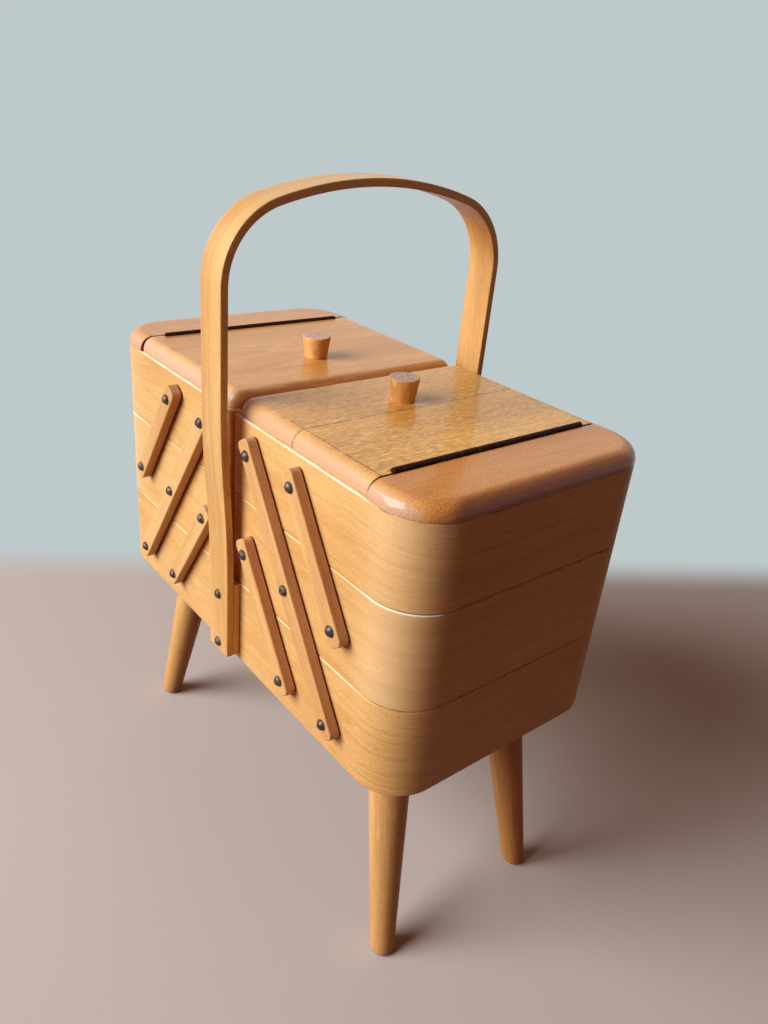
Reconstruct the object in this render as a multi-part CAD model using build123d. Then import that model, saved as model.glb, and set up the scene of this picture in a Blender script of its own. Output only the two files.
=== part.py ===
from build123d import *
import math
import os

# Folding sewing carrier: a bottom tray on four legs, two middle and two top trays on
# swinging link bars, two hinged lids and a bentwood handle.
# Frame: origin on the floor under the middle of the box, +X along the box to the right,
# +Y to the back, +Z up. Millimetres.

# Box
body_length = 420.0
body_width = 222.0
stand_height = 190.0
bottom_tray_height = 75.0
middle_tray_height = 76.0
top_wall_height = 63.0
wall_thickness = 8.0
end_corner_radius = 37.0
inner_corner_radius = 4.0
wall_edge_round = 0.8
seam_gap = 0.3
centre_gap = 1.0
floor_thickness = 4.0
floor_seat_depth = 4.0
bottom_floor_rise = 20.0
glue_gap = 0.1

# Lids and end rails
lid_thickness = 12.0
lid_inset = 2.0
lid_edge_round = 10.0
lid_corner_radius = 12.0
rail_width = 52.0
rail_edge_round = 11.0
lid_joint_gap = 0.3

# Knobs
knob_from_centre = 57.5
knob_base_diameter = 19.0
knob_top_diameter = 23.5
knob_height = 18.0
knob_edge_round = 1.2
knob_screw_diameter = 4.0
knob_screw_grip = 11.0
knob_screw_head_diameter = 8.0
knob_screw_head_height = 2.2

# Piano hinge
hinge_length = 178.0
hinge_barrel_diameter = 4.2
hinge_pin_diameter = 2.0
hinge_axis_rise = 0.5
hinge_knuckles = 11
hinge_knuckle_gap = 0.3
hinge_side_gap = 0.3
hinge_leaf_thickness = 0.9
hinge_leaf_margin = 1.0
hinge_screw_count = 5
hinge_screw_diameter = 2.5
hinge_screw_head_diameter = 4.2
hinge_screw_head_height = 0.8
hinge_screw_length = 11.0
hinge_end_gap = 0.4

# Link bars and their pivots
link_length = 98.0
link_lean = 34.0
link_spacing = 56.5
link_width = 14.0
link_thickness = 9.0
link_end_length = 12.0
link_corner_radius = 4.5
link_edge_round = 0.8
link_side_gap = 0.3
top_pivot_from_centre = 34.5
bottom_pivot_rise = 32.0

# Pivot and handle screws
screw_diameter = 4.5
screw_head_diameter = 8.6
screw_head_height = 3.0
screw_slot_width = 1.0
screw_slot_depth = 1.2
screw_grip = 6.5
screw_hole_spare = 0.4
running_clearance = 0.05
slot_turn_step = 47.0

# Handle
handle_width = 28.5
handle_thickness = 6.0
handle_edge_round = 0.8
handle_rise = 376.0
handle_crown_radius = 300.0
handle_corner_radius = 60.0
handle_bow = 6.0
handle_bow_height = 150.0
handle_foot_rise = 7.0
spacer_thickness = 6.0
spacer_top_gap = 0.5
handle_screw_low = 14.5
handle_screw_high = 61.0

# Legs
leg_top_end_inset = 58.0
leg_top_side_inset = 52.0
leg_foot_end_inset = 18.5
leg_foot_side_inset = 33.0
leg_top_diameter = 36.0
leg_foot_diameter = 19.5
leg_foot_round = 5.0
leg_stud_diameter = 8.0
leg_stud_depth = 30.0
batten_width = 60.0

# Levels and places that follow
half_length = body_length / 2
half_width = body_width / 2
middle_base = stand_height + bottom_tray_height
top_base = middle_base + middle_tray_height
rim_level = top_base + top_wall_height
lid_top = rim_level + lid_thickness
inner_face = centre_gap / 2
rail_face = half_length - rail_width
hinge_radius = hinge_barrel_diameter / 2
leaf_reach = hinge_radius + hinge_side_gap
hinge_x = rail_face - leaf_reach
hinge_z = lid_top + hinge_axis_rise
link_run = link_length * math.sin(math.radians(link_lean))
link_drop = link_length * math.cos(math.radians(link_lean))
outer_bottom_pivot = (top_pivot_from_centre + 2 * link_run, stand_height + bottom_pivot_rise)
leg_top_x = half_length - leg_top_end_inset
leg_top_y = half_width - leg_top_side_inset
leg_foot_x = half_length - leg_foot_end_inset
leg_foot_y = half_width - leg_foot_side_inset
screw_hole_radius = screw_diameter / 2 + running_clearance
hinge_hole_radius = hinge_screw_diameter / 2 + running_clearance
overshoot = 5.0


def pivot(stage, spacings):
    """Pivot centre (x, z) on the right half: stage 0 in the bottom tray, 1 in the middle
    tray, 2 in the top tray, moved outward by whole link spacings."""
    x, z = outer_bottom_pivot
    return (x - stage * link_run + spacings * link_spacing, z + stage * link_drop)


bottom_pivots = [pivot(0, 0), pivot(0, -1)]
middle_pivots = [pivot(1, 0), pivot(1, 1), pivot(1, -1)]
top_pivots = [pivot(2, 0), pivot(2, 1)]


def plan(x_in, x_out, y_half, end_radius, inner_radius):
    """Flat outline of a tray half: round corners at its outer end, small ones inside."""
    sketch = Pos((x_in + x_out) / 2, 0) * Rectangle(x_out - x_in, 2 * y_half)
    sketch = fillet(sketch.vertices().sort_by(Axis.X)[-2:], end_radius)
    if inner_radius > 0:
        sketch = fillet(sketch.vertices().sort_by(Axis.X)[:2], inner_radius)
    return sketch


def slab(sketch, z_low, z_high):
    """The outline carried up between two levels."""
    return Pos(0, 0, z_low) * extrude(sketch, z_high - z_low)


def inside_plan(x_in, inset):
    """The outline of the hollow, drawn in from the outer face of the end and sides."""
    return plan(x_in, half_length - inset, half_width - inset, end_corner_radius - inset, 0)


def across(x, y, z, side):
    """A place on the front (side -1) or back (side 1) with its Z axis pointing outward."""
    return Plane(origin=(x, y, z), x_dir=(1, 0, 0), z_dir=(0, side, 0))


def blind_holes(centres, depth):
    """Screw holes into both long walls of a tray."""
    holes = []
    for x, z in centres:
        for side in (-1, 1):
            drill = Cylinder(screw_hole_radius, 2 * depth)
            holes.append(across(x, side * half_width, z, side) * drill)
    return holes


def soften(part, level_low, level_high):
    """Ease the outer top and bottom edges of a bent wall."""
    reach = half_width - wall_thickness / 2
    rims = part.edges().filter_by_position(Axis.Z, level_low, level_low)
    rims += part.edges().filter_by_position(Axis.Z, level_high, level_high)
    outer = [edge for edge in rims if is_outer(edge, reach)]
    return fillet(outer, wall_edge_round)


def is_outer(edge, reach):
    """True for a rim edge on the outer face, straight or bent."""
    middle = edge.position_at(0.5)
    on_side = abs(middle.Y) > reach
    on_end = abs(middle.X) > half_length - wall_thickness / 2
    corner_x = half_length - end_corner_radius
    corner_y = half_width - end_corner_radius
    off_corner = math.hypot(abs(middle.X) - corner_x, abs(middle.Y) - corner_y)
    in_corner = abs(middle.X) > corner_x and abs(middle.Y) > corner_y
    on_bend = in_corner and off_corner > end_corner_radius - wall_thickness / 2
    return on_side or on_end or on_bend


def bent_wall(level_low, level_high, pivots):
    """U-shaped bent wall of a middle or top tray, rebated below for the floor."""
    outer = plan(inner_face, half_length, half_width, end_corner_radius, inner_corner_radius)
    wall = slab(outer, level_low, level_high)
    hollow = inside_plan(inner_face - overshoot, wall_thickness)
    wall -= slab(hollow, level_low - overshoot, level_high + overshoot)
    rebate = inside_plan(inner_face - overshoot, wall_thickness - floor_seat_depth)
    wall -= slab(rebate, level_low - overshoot, level_low + floor_thickness)
    wall = soften(wall, level_low, level_high)
    for hole in blind_holes(pivots, screw_grip + screw_hole_spare):
        wall -= hole
    return wall


def inner_board(level_low, level_high):
    """Straight board that closes a tray at the middle of the box."""
    length = 2 * (half_width - wall_thickness)
    middle = (inner_face + wall_thickness / 2, 0, (level_low + level_high) / 2)
    board = Pos(*middle) * Box(wall_thickness, length, level_high - level_low)
    seat_face = inner_face + wall_thickness - floor_seat_depth
    seat = Pos(seat_face, 0, level_low) * Box(
        wall_thickness, length + overshoot, floor_thickness, align=(Align.MIN, Align.CENTER, Align.MIN)
    )
    return board - seat


def tray_floor(level_low):
    """Thin floor that sits in the rebates of a middle or top tray."""
    inset = wall_thickness - floor_seat_depth + glue_gap
    x_in = inner_face + inset
    return slab(inside_plan(x_in, inset), level_low, level_low + floor_thickness)


def bottom_wall():
    """Right half of the bottom tray's bent wall, grooved for the floor."""
    level_high = middle_base - seam_gap
    outer = plan(0, half_length, half_width, end_corner_radius, 0)
    wall = slab(outer, stand_height, level_high)
    hollow = inside_plan(-overshoot, wall_thickness)
    wall -= slab(hollow, stand_height - overshoot, level_high + overshoot)
    groove = inside_plan(-overshoot, wall_thickness - floor_seat_depth)
    groove_low = stand_height + bottom_floor_rise
    wall -= slab(groove, groove_low, groove_low + floor_thickness)
    wall = soften(wall, stand_height, level_high)
    handle_holes = [(0, stand_height + rise) for rise in (handle_screw_low, handle_screw_high)]
    for hole in blind_holes(bottom_pivots + handle_holes, screw_grip + screw_hole_spare):
        wall -= hole
    return wall


def bottom_floor():
    """Full-length floor of the bottom tray, held in the groove all round."""
    inset = wall_thickness - floor_seat_depth + glue_gap
    low = stand_height + bottom_floor_rise + glue_gap
    high = stand_height + bottom_floor_rise + floor_thickness - glue_gap
    sketch = Rectangle(2 * (half_length - inset), 2 * (half_width - inset))
    sketch = fillet(sketch.vertices(), end_corner_radius - inset)
    return slab(sketch, low, high)


def leg_axis():
    """Foot centre on the floor and unit direction up the right back leg."""
    foot = Vector(leg_foot_x, leg_foot_y, 0)
    top = Vector(leg_top_x, leg_top_y, stand_height)
    return foot, (top - foot).normalized(), (top - foot).length


def stud_hole(clearance):
    """Cylinder of a leg stud, from inside the leg up through its batten."""
    foot, up, length = leg_axis()
    start = foot + up * (length - leg_stud_depth - clearance)
    reach = leg_stud_depth + bottom_floor_rise + overshoot
    radius = leg_stud_diameter / 2 + clearance
    bolt = Cylinder(radius, reach, align=(Align.CENTER, Align.CENTER, Align.MIN))
    return Plane(origin=start, z_dir=up) * bolt


def below(level, part):
    """What of a part lies under a level."""
    return split(part, Plane.XY.offset(level), keep=Keep.BOTTOM)


def leg():
    """Right back leg: a splayed taper, cut level at its foot and at its top."""
    foot, up, length = leg_axis()
    taper = (leg_top_diameter - leg_foot_diameter) / 2 / length
    low_radius = leg_foot_diameter / 2 - taper * leg_foot_diameter
    high_radius = leg_top_diameter / 2 + taper * leg_top_diameter
    full_length = length + leg_foot_diameter + leg_top_diameter
    cone = Cone(low_radius, high_radius, full_length, align=(Align.CENTER, Align.CENTER, Align.MIN))
    part = Plane(origin=foot - up * leg_foot_diameter, z_dir=up) * cone
    part = below(stand_height, part)
    part = split(part, Plane.XY, keep=Keep.TOP)
    part = fillet(part.edges().filter_by_position(Axis.Z, 0, 0), leg_foot_round)
    return part - stud_hole(glue_gap)


def leg_batten():
    """Right cross batten between the walls under the floor, drilled for two studs."""
    low = stand_height
    high = stand_height + bottom_floor_rise
    bar = Pos(leg_top_x, 0, (low + high) / 2) * Box(batten_width, body_width, high - low)
    bar &= slab(inside_plan(0, wall_thickness + glue_gap), low, high)
    drill = stud_hole(glue_gap)
    return bar - drill - mirror(drill, Plane.XZ)


def leg_stud():
    """Threaded bolt of the right back leg, level with the top of the batten."""
    return below(stand_height + bottom_floor_rise - glue_gap, stud_hole(0))


def screw(shank_length, turn):
    """Slotted round-head screw, head seat at the origin, shank down, slot turned."""
    dome_radius = ((screw_head_diameter / 2) ** 2 + screw_head_height**2) / (2 * screw_head_height)
    dome = Pos(0, 0, screw_head_height - dome_radius) * Sphere(dome_radius)
    dome = split(dome, Plane.XY, keep=Keep.TOP)
    shank = Cylinder(screw_diameter / 2, shank_length, align=(Align.CENTER, Align.CENTER, Align.MAX))
    slot_floor = screw_head_height - screw_slot_depth
    cutter = Pos(0, 0, slot_floor) * Box(
        2 * screw_head_diameter, screw_slot_width, screw_head_height, align=(Align.CENTER, Align.CENTER, Align.MIN)
    )
    return (dome + shank) - Rot(0, 0, turn) * cutter


def face_screws(centres, stand_off, first_turn):
    """Screws on the front and the back, heads a stand-off away from the tray walls."""
    screws = []
    for x, z in centres:
        for side in (-1, 1):
            turn = first_turn + slot_turn_step * len(screws)
            body = screw(stand_off + screw_grip, turn)
            screws.append(across(x, side * (half_width + stand_off), z, side) * body)
    return screws


def link(first, last):
    """Link bar on the front, from its lower pivot to its upper one."""
    run = last[0] - first[0]
    rise = last[1] - first[1]
    span = math.hypot(run, rise)
    lean = math.degrees(math.atan2(run, rise))
    full = span + 2 * link_end_length
    bar = extrude(fillet(Rectangle(link_width, full).vertices(), link_corner_radius), link_thickness)
    bar = fillet(bar.faces().sort_by(Axis.Z)[-1].edges(), link_edge_round)
    place = across((first[0] + last[0]) / 2, -(half_width + link_side_gap), (first[1] + last[1]) / 2, -1)
    bar = place * (Rot(0, 0, -lean) * bar)
    pivots = 1 + round(span / link_length)
    for index in range(pivots):
        share = index / (pivots - 1)
        hole = Cylinder(screw_hole_radius, 4 * link_thickness)
        bar -= across(first[0] + share * run, -half_width, first[1] + share * rise, -1) * hole
    return bar


def end_rail():
    """Fixed strip of the top at the outer end, its outer top edge rounded."""
    outline = plan(rail_face, half_length, half_width, end_corner_radius, 0)
    rail = slab(outline, rim_level, lid_top)
    top_edges = rail.edges().filter_by_position(Axis.Z, lid_top, lid_top)
    outer = [edge for edge in top_edges if edge.position_at(0.5).X > rail_face + glue_gap]
    rail = fillet(outer, rail_edge_round)
    for drill in hinge_screw_places(rail_face, 1):
        rail -= drill * Cylinder(hinge_hole_radius, 2 * hinge_screw_length)
    return rail


def hinge_span(index):
    """Ends along Y of one hinge knuckle."""
    pitch = hinge_length / hinge_knuckles
    start = -hinge_length / 2 + index * pitch
    return start + hinge_knuckle_gap / 2, start + pitch - hinge_knuckle_gap / 2


def hinge_leaf(side):
    """One leaf with its knuckles: side 1 lies on the rail, side -1 on the lid."""
    outer_face = hinge_x + side * leaf_reach
    inner_side = outer_face - side * hinge_leaf_thickness
    middle_x = (outer_face + inner_side) / 2
    low = rim_level + hinge_leaf_margin
    high = hinge_z - leaf_reach
    leaf = Pos(middle_x, 0, (low + high) / 2) * Box(hinge_leaf_thickness, hinge_length, high - low)
    first = 0 if side > 0 else 1
    for index in range(first, hinge_knuckles, 2):
        start, end = hinge_span(index)
        along = (start + end) / 2
        tab = Pos(middle_x, along, (high + hinge_z) / 2) * Box(hinge_leaf_thickness, end - start, hinge_z - high)
        tube = Pos(hinge_x, along, hinge_z) * Rot(90, 0, 0) * Cylinder(hinge_radius, end - start)
        leaf += tab
        leaf += tube
    leaf -= Pos(hinge_x, 0, hinge_z) * Rot(90, 0, 0) * Cylinder(
        hinge_pin_diameter / 2 + running_clearance, 2 * hinge_length
    )
    for drill in hinge_screw_places(outer_face, side):
        leaf -= drill * Cylinder(hinge_hole_radius, 4 * hinge_leaf_thickness)
    return leaf


def hinge_pin():
    """Wire pin through all the knuckles."""
    return Pos(hinge_x, 0, hinge_z) * Rot(90, 0, 0) * Cylinder(hinge_pin_diameter / 2, hinge_length)


def hinge_screw_places(face, side):
    """Places of the hinge screws on a leaf, Z axis out of the wood."""
    level = (rim_level + hinge_leaf_margin + hinge_z - leaf_reach) / 2
    pitch = hinge_length / hinge_screw_count
    places = []
    for index in range(hinge_screw_count):
        along = -hinge_length / 2 + (index + 0.5) * pitch
        places.append(Plane(origin=(face, along, level), x_dir=(0, 1, 0), z_dir=(-side, 0, 0)))
    return places


def hinge_screws(side):
    """Low-head screws through one leaf into the wood behind it."""
    face = hinge_x + side * leaf_reach
    shank = Cylinder(
        hinge_screw_diameter / 2, hinge_screw_length, align=(Align.CENTER, Align.CENTER, Align.MAX)
    )
    head = Cylinder(
        hinge_screw_head_diameter / 2, hinge_screw_head_height, align=(Align.CENTER, Align.CENTER, Align.MIN)
    )
    body = Pos(0, 0, hinge_leaf_thickness) * (shank + head)
    return [place * body for place in hinge_screw_places(face, side)]


def lid_panel():
    """Right lid: rounded on three edges, notched along its hinge."""
    y_half = half_width - lid_inset
    x_out = rail_face - lid_joint_gap
    low = rim_level + seam_gap
    sketch = Pos((inner_face + x_out) / 2, 0) * Rectangle(x_out - inner_face, 2 * y_half)
    sketch = fillet(sketch.vertices().sort_by(Axis.X)[:2], lid_corner_radius)
    panel = slab(sketch, low, lid_top)
    top_edges = panel.edges().filter_by_position(Axis.Z, lid_top, lid_top)
    rounded = [edge for edge in top_edges if edge.position_at(0.5).X < x_out - glue_gap]
    panel = fillet(rounded, lid_edge_round)
    notch_depth = x_out - (hinge_x - leaf_reach)
    notch_length = hinge_length + 2 * hinge_end_gap
    panel -= Pos(x_out - notch_depth, 0, low) * Box(
        notch_depth + overshoot, notch_length, 4 * lid_thickness, align=(Align.MIN, Align.CENTER, Align.CENTER)
    )
    for place in hinge_screw_places(hinge_x - leaf_reach, -1):
        panel -= place * Cylinder(hinge_hole_radius, 2 * hinge_screw_length)
    shank_hole = knob_screw_diameter / 2 + running_clearance
    panel -= Pos(knob_from_centre, 0, lid_top) * Cylinder(shank_hole, 4 * lid_thickness)
    head_hole = knob_screw_head_diameter / 2 + running_clearance
    panel -= Pos(knob_from_centre, 0, low) * Cylinder(head_hole, 2 * knob_screw_head_height)
    return panel


def knob():
    """Turned knob, wider at its top, with a blind screw hole below."""
    cone = Cone(
        knob_base_diameter / 2, knob_top_diameter / 2, knob_height, align=(Align.CENTER, Align.CENTER, Align.MIN)
    )
    cone = fillet(cone.edges().sort_by(Axis.Z)[-1], knob_edge_round)
    depth = knob_screw_grip + screw_hole_spare
    cone -= Cylinder(knob_screw_diameter / 2 + running_clearance, 2 * depth)
    return Pos(knob_from_centre, 0, lid_top) * cone


def knob_screw():
    """Screw up through the lid into the knob, its head sunk in the underside."""
    low = rim_level + seam_gap
    head = Cylinder(
        knob_screw_head_diameter / 2, knob_screw_head_height, align=(Align.CENTER, Align.CENTER, Align.MIN)
    )
    reach = lid_top - low + knob_screw_grip
    shank = Cylinder(knob_screw_diameter / 2, reach, align=(Align.CENTER, Align.CENTER, Align.MIN))
    return Pos(knob_from_centre, 0, low) * (head + shank)


def handle_path(offset):
    """Half of the hoop's line in the YZ plane, drawn off its outer face by an offset.
    It climbs straight past the spacer, bows outward in two equal arcs, climbs straight
    again and turns over a corner arc into the flat crown arc."""
    foot_y = half_width + spacer_thickness + handle_thickness - offset
    foot_z = stand_height + handle_foot_rise
    bow_low = stand_height + bottom_tray_height
    bow_high = bow_low + handle_bow_height
    half_rise = handle_bow_height / 2
    bow_radius = (half_rise**2 + (handle_bow / 2) ** 2) / handle_bow
    lean = math.asin(half_rise / bow_radius)
    first_radius = bow_radius + offset
    last_radius = bow_radius - offset
    knee = (
        foot_y + first_radius * (1 - math.cos(lean)),
        bow_low + first_radius * math.sin(lean),
    )
    wide_y = foot_y + handle_bow
    corner_radius = handle_corner_radius - offset
    crown_radius = handle_crown_radius - offset
    crown_z = stand_height + handle_rise - handle_crown_radius
    corner_y = wide_y - corner_radius
    rise_squared = (crown_radius - corner_radius) ** 2 - corner_y**2
    corner_z = crown_z + math.sqrt(rise_squared)
    turn = math.atan2(corner_z - crown_z, corner_y)
    meet = (corner_y + corner_radius * math.cos(turn), corner_z + corner_radius * math.sin(turn))
    half_turn = turn / 2
    corner_middle = (
        corner_y + corner_radius * math.cos(half_turn),
        corner_z + corner_radius * math.sin(half_turn),
    )
    crown_turn = (turn + math.pi / 2) / 2
    crown_middle = (crown_radius * math.cos(crown_turn), crown_z + crown_radius * math.sin(crown_turn))
    first_middle = (
        foot_y + first_radius * (1 - math.cos(lean / 2)),
        bow_low + first_radius * math.sin(lean / 2),
    )
    last_middle = (
        wide_y - last_radius * (1 - math.cos(lean / 2)),
        bow_high - last_radius * math.sin(lean / 2),
    )
    return [
        Line((foot_y, foot_z), (foot_y, bow_low)),
        ThreePointArc((foot_y, bow_low), first_middle, knee),
        ThreePointArc(knee, last_middle, (wide_y, bow_high)),
        Line((wide_y, bow_high), (wide_y, corner_z)),
        ThreePointArc((wide_y, corner_z), corner_middle, meet),
        ThreePointArc(meet, crown_middle, (0, crown_z + crown_radius)),
    ]


def handle_hoop():
    """Bent flat hoop from the front foot over the crown to the back foot."""
    outer = handle_path(0)
    inner = handle_path(handle_thickness)
    foot = Line(outer[0] @ 0, inner[0] @ 0)
    crown = Line(outer[-1] @ 1, inner[-1] @ 1)
    half = make_face(Curve() + outer + inner + [foot, crown])
    profile = half + mirror(half, Plane.YZ)
    hoop = Plane.YZ * extrude(profile, handle_width / 2, both=True)
    sides = hoop.faces().filter_by(Axis.X)
    hoop = fillet([edge for face in sides for edge in face.edges()], handle_edge_round)
    for rise in (handle_screw_low, handle_screw_high):
        drill = Rot(90, 0, 0) * Cylinder(screw_hole_radius, 2 * body_width)
        hoop -= Pos(0, 0, stand_height + rise) * drill
    return hoop


def handle_spacer():
    """Back block between the bottom tray and the handle."""
    low = stand_height + handle_foot_rise
    high = middle_base - spacer_top_gap
    middle = (0, half_width + spacer_thickness / 2, (low + high) / 2)
    block = Pos(*middle) * Box(handle_width, spacer_thickness, high - low)
    for rise in (handle_screw_low, handle_screw_high):
        drill = Rot(90, 0, 0) * Cylinder(screw_hole_radius, 4 * body_width)
        block -= Pos(0, 0, stand_height + rise) * drill
    return block


def left(part):
    """The same piece on the left half."""
    return mirror(part, Plane.YZ)


def back(part):
    """The same piece on the other long side."""
    return mirror(part, Plane.XZ)


def base_pieces():
    """Pieces of the bottom tray, its legs and the handle."""
    wall = bottom_wall()
    batten = leg_batten()
    stud = leg_stud()
    corner_leg = leg()
    spacer = handle_spacer()
    handle_centres = [(0, stand_height + rise) for rise in (handle_screw_low, handle_screw_high)]
    pivot_screws = face_screws(bottom_pivots, link_thickness + 2 * link_side_gap, 0)
    right_studs = [stud, back(stud)]
    return {
        "bottom_tray_wall_right": wall,
        "bottom_tray_wall_left": left(wall),
        "bottom_tray_floor": bottom_floor(),
        "leg_battens": [batten, left(batten)],
        "leg_back_right": corner_leg,
        "leg_front_right": back(corner_leg),
        "leg_back_left": left(corner_leg),
        "leg_front_left": left(back(corner_leg)),
        "leg_studs": right_studs + [left(bolt) for bolt in right_studs],
        "handle_hoop": handle_hoop(),
        "handle_spacer_back": spacer,
        "handle_spacer_front": back(spacer),
        "handle_screws": face_screws(handle_centres, spacer_thickness + handle_thickness, 20),
        "bottom_pivot_screws": pivot_screws + [left(body) for body in pivot_screws],
    }


def half_pieces():
    """Pieces of the right half: both trays, the lid, the hinge and the link bars."""
    middle_top = top_base - seam_gap
    stand_off = link_thickness + 2 * link_side_gap
    links = {
        "long_link": link(bottom_pivots[0], top_pivots[0]),
        "lower_link": link(bottom_pivots[1], middle_pivots[2]),
        "upper_link": link(middle_pivots[1], top_pivots[1]),
    }
    pieces = {
        "middle_tray_wall": bent_wall(middle_base, middle_top, middle_pivots),
        "middle_tray_inner_board": inner_board(middle_base, middle_top),
        "middle_tray_floor": tray_floor(middle_base),
        "middle_pivot_screws": face_screws(middle_pivots, stand_off, 70),
        "top_tray_wall": bent_wall(top_base, rim_level, top_pivots),
        "top_tray_inner_board": inner_board(top_base, rim_level),
        "top_tray_floor": tray_floor(top_base),
        "top_pivot_screws": face_screws(top_pivots, stand_off, 110),
        "end_rail": end_rail(),
        "hinge_leaf_rail": hinge_leaf(1),
        "hinge_pin": hinge_pin(),
        "hinge_screws_rail": hinge_screws(1),
        "lid_panel": lid_panel(),
        "hinge_leaf_lid": hinge_leaf(-1),
        "hinge_screws_lid": hinge_screws(-1),
        "knob": knob(),
        "knob_screw": knob_screw(),
    }
    for name, bar in links.items():
        pieces[name + "_front"] = bar
        pieces[name + "_back"] = back(bar)
    return pieces


def as_list(piece):
    """A single piece or a group of alike pieces, as a list."""
    return piece if isinstance(piece, list) else [piece]


def save(name, solids):
    """Write one named sub-part."""
    export_step(Compound(children=[Part(body.wrapped) for body in solids]), f"parts/{name}.step")


os.makedirs("parts", exist_ok=True)
for node, shape in base_pieces().items():
    save(node, as_list(shape))
for node, shape in half_pieces().items():
    save(node + "_right", as_list(shape))
    save(node + "_left", [left(body) for body in as_list(shape)])
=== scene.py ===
import math
import bpy
import numpy as np
from mathutils import Matrix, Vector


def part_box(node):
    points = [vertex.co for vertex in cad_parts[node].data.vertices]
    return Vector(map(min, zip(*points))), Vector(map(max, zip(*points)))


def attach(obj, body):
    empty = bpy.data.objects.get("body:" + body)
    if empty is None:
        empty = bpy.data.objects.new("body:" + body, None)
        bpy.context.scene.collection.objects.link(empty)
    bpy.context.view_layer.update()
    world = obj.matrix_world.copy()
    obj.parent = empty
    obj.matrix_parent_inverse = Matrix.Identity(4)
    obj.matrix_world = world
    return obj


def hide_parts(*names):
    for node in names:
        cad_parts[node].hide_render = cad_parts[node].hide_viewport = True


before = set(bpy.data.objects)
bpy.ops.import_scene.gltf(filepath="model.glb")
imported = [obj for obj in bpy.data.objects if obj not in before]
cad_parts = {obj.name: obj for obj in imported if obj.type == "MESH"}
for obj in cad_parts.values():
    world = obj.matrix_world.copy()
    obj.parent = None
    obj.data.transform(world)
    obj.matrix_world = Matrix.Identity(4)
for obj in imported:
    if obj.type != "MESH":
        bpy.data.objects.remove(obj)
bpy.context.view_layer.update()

# Sewing carrier in beech: a bottom tray on legs, folding trays on link bars, two lids and
# a bent handle. Lengths are millimetres until a mesh or a lamp is made.

draws = np.random.default_rng(11)  # where in the pattern each piece of wood is cut
sides = {"right": 1.0, "left": -1.0}
faces = {"front": -1, "back": 1}
metre = 0.001
perMetre = 1000
print("frame loaded")


class Wire:
    # A shader socket that can be added, multiplied and so on, each time with a Math node
    def __init__(self, tree, socket=None):
        self.tree, self.socket = tree, socket

    def make(self, kind, settings=None, inputs=None, output=0):
        made = self.tree.nodes.new(kind)
        for key, value in (settings or {}).items():
            setattr(made, key, value)
        for key, value in (inputs or {}).items():
            if isinstance(value, Wire):
                self.tree.links.new(value.socket, made.inputs[key])
            else:
                made.inputs[key].default_value = value
        return Wire(self.tree, made.outputs[output] if len(made.outputs) else None)

    def join(self, operation, first, second=0.0):
        return self.make("ShaderNodeMath", {"operation": operation}, {0: first, 1: second})

    def __add__(self, other):
        return self.join("ADD", self, other)

    def __sub__(self, other):
        return self.join("SUBTRACT", self, other)

    def __rsub__(self, other):
        return self.join("SUBTRACT", other, self)

    def __mul__(self, other):
        return self.join("MULTIPLY", self, other)

    def __pow__(self, other):
        return self.join("POWER", self, other)

    __radd__ = __add__
    __rmul__ = __mul__


def display(red, green, blue):
    # Colour as a screen shows it, 0 to 255, turned into the linear value a shader takes
    share = np.array([red, green, blue]) / 255
    linear = np.where(share <= 0.04045, share / 12.92, ((share + 0.055) / 1.055) ** 2.4)
    return (*linear.tolist(), 1.0)


def stretched(vector, along, across):
    # Pattern coordinates: millimetres times patterns per millimetre, along and across the fibre
    return vector.make("ShaderNodeVectorMath", {"operation": "MULTIPLY"}, {
        0: vector, 1: (along, across, across),
    })


def shifted(vector, amount):
    return vector.make("ShaderNodeVectorMath", {"operation": "ADD"}, {0: vector, 1: amount})


def cloud(vector, detail=2.0, roughness=0.5):
    return vector.make("ShaderNodeTexNoise", None, {
        "Vector": vector, "Scale": 1.0, "Detail": detail, "Roughness": roughness,
    })


def ease(value, low, high):
    # 0 below low, 1 above high, a smooth step between
    return value.make("ShaderNodeMapRange", {"interpolation_type": "SMOOTHSTEP"}, {
        "Value": value, "From Min": low, "From Max": high,
    })


def blended(factor, first, second, mode="MIX"):
    return factor.make(
        "ShaderNodeMix", {"data_type": "RGBA", "blend_type": mode, "clamp_factor": True},
        {0: factor, 6: first, 7: second}, output=2,
    )


def newMaterial(name):
    material = bpy.data.materials.new(name)
    material.use_nodes = True
    material.node_tree.nodes.clear()
    return material, Wire(material.node_tree)


def surface(start, inputs):
    shader = start.make("ShaderNodeBsdfPrincipled", None, inputs)
    start.make("ShaderNodeOutputMaterial", None, {"Surface": shader})


plainWood = {
    "pale": (230, 177, 108), "deep": (222, 165, 95), "late": (204, 145, 78), "early": (238, 192, 126),
    "fleck": (138, 80, 36), "bare": (252, 240, 206), "grimeAndShade": (84, 20, 9), "end": (206, 156, 118),
    "rubbed": (238, 194, 148), "rubbedAndSheenShare": 0.0, "paintedShade": (231, 222, 255), "paintedShadeShare": 0.0,
    "bandWidth": 16, "ringCount": 7, "ringShare": 0.28, "mottle": 0.3, "hair": 0.5, "line": 0.3,
    "grit": 0.45, "fleckLength": 2.0, "fleckWidth": 0.42, "fleckCut": 0.62, "fleckShare": 0.42,
    "glintShare": 0.0, "speckShare": 0.0, "endPores": 0.4, "peel": 0.0, "bump": 0.14,
    "bumpHeight": 0.0004, "roughness": 0.5, "specular": 0.25, "coat": 0.2, "coatRoughness": 0.4,
}
tintNames = ("pale", "deep", "late", "early", "fleck", "bare", "grimeAndShade", "end", "rubbed", "paintedShade")
grainPitch = {  # patterns per millimetre, along and across the fibre
    "line": (0.012, 0.75), "hair": (0.07, 1.9), "grit": (0.7, 1.6), "broad": (0.006, 0.012),
    "spot": (0.03, 0.03), "pore": (0.9, 0.8), "chip": (0.06, 0.5), "drift": (0.005, 0.03),
    "crack": (0.35, 0.35), "peel": (0.9, 0.9),
}
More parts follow.
